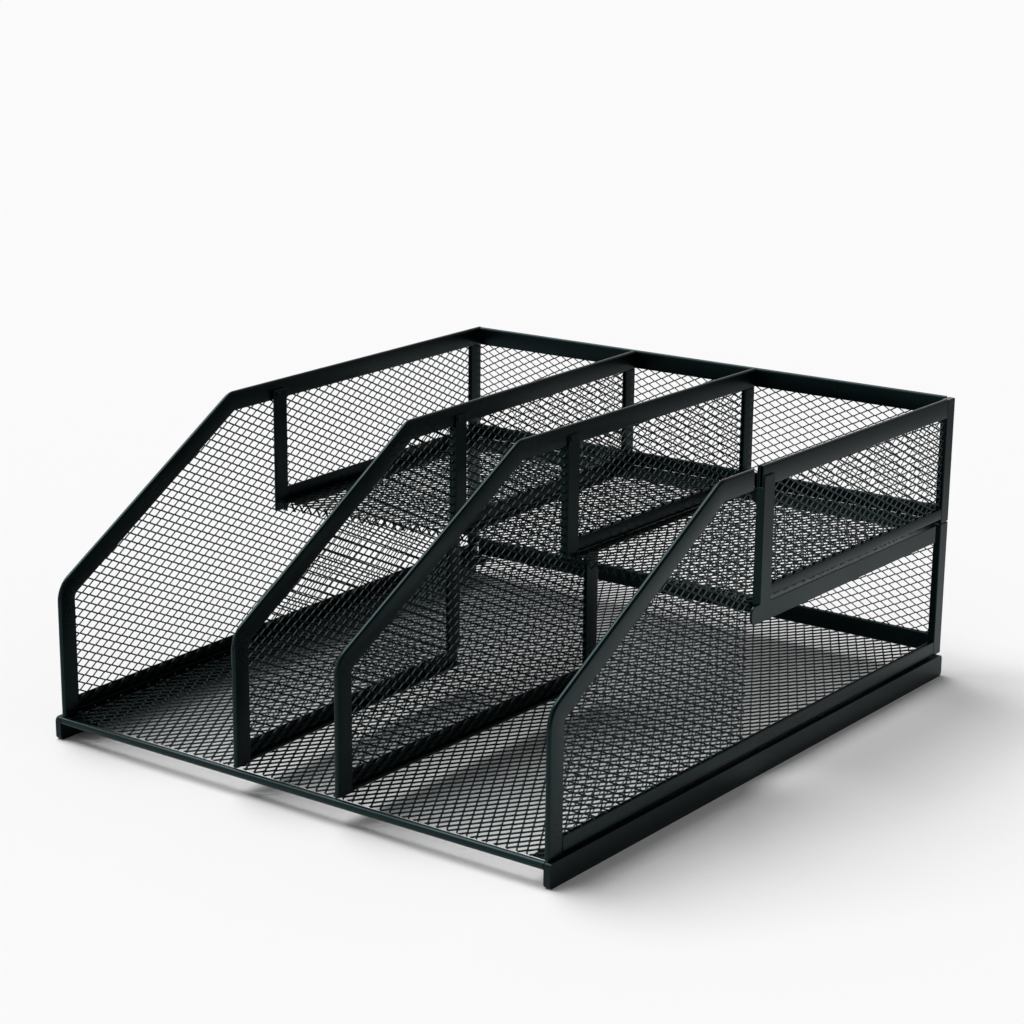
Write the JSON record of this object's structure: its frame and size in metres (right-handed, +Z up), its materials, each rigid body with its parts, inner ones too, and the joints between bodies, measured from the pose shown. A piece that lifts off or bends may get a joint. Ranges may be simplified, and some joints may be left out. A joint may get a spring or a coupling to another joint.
{
  "type": "desktop paper tray",
  "caption": "Mesh-steel desktop tray with sloped side walls, two dividers, front bays, a raised three-bay box and an open-sided paper compartment under it.",
  "frame": {"origin": "middle of the overall box on the desk, under the tray", "axes": "+Z up from the desk, +Y from the open front to the back wall, +X to the side with the opening"},
  "size_m": [0.3548, 0.4014, 0.172],
  "materials": {
    "net": "satin black powder coat",
    "rivet": "satin black powder coat",
    "rail": "satin black powder coat",
    "bar": "satin black powder coat",
    "post": "satin black powder coat",
    "strip": "satin black powder coat"
  },
  "bodies": {
    "root": {"back_bottom_strip": "strip", "back_box_bottom_strip": "strip", "back_lower_mesh": "net", "back_lower_top_strip": "strip", "back_top_strip": "strip", "back_upper_mesh": "net", "divider_1_bottom_strip": "strip", "divider_1_box_mesh": "net", "divider_1_box_post": "post", "divider_1_front_mesh": "net", "divider_1_lower_post": "post", "divider_1_post_rivet": "rivet", "divider_1_rear_post": "post", "divider_1_rim_strip": "strip", "divider_1_shelf_rail": "strip", "divider_1_shelf_strip": "strip", "divider_2_bottom_strip": "strip", "divider_2_box_mesh": "net", "divider_2_box_post": "post", "divider_2_front_mesh": "net", "divider_2_lower_post": "post", "divider_2_post_rivet": "rivet", "divider_2_rear_post": "post", "divider_2_rim_strip": "strip", "divider_2_shelf_rail": "strip", "divider_2_shelf_strip": "strip", "floor_mesh": "net", "front_bar": "bar", "left_bottom_strip": "strip", "left_box_front_post": "post", "left_foot_rail": "rail", "left_post_rivet": "rivet", "left_rear_post": "post", "left_rim_strip": "strip", "left_shelf_strip": "strip", "left_wall_mesh": "net", "right_bottom_strip": "strip", "right_box_bottom_strip": "strip", "right_box_front_post": "post", "right_box_mesh": "net", "right_box_rear_post": "post", "right_box_top_strip": "strip", "right_foot_rail": "rail", "right_front_mesh": "net", "right_lower_rear_post": "post", "right_opening_strip": "strip", "right_rim_strip": "strip", "shelf_front_strip_left": "strip", "shelf_front_strip_middle": "strip", "shelf_front_strip_right": "strip", "shelf_mesh_left": "net", "shelf_mesh_middle": "net", "shelf_mesh_right": "net"}
  },
  "joints": []
}
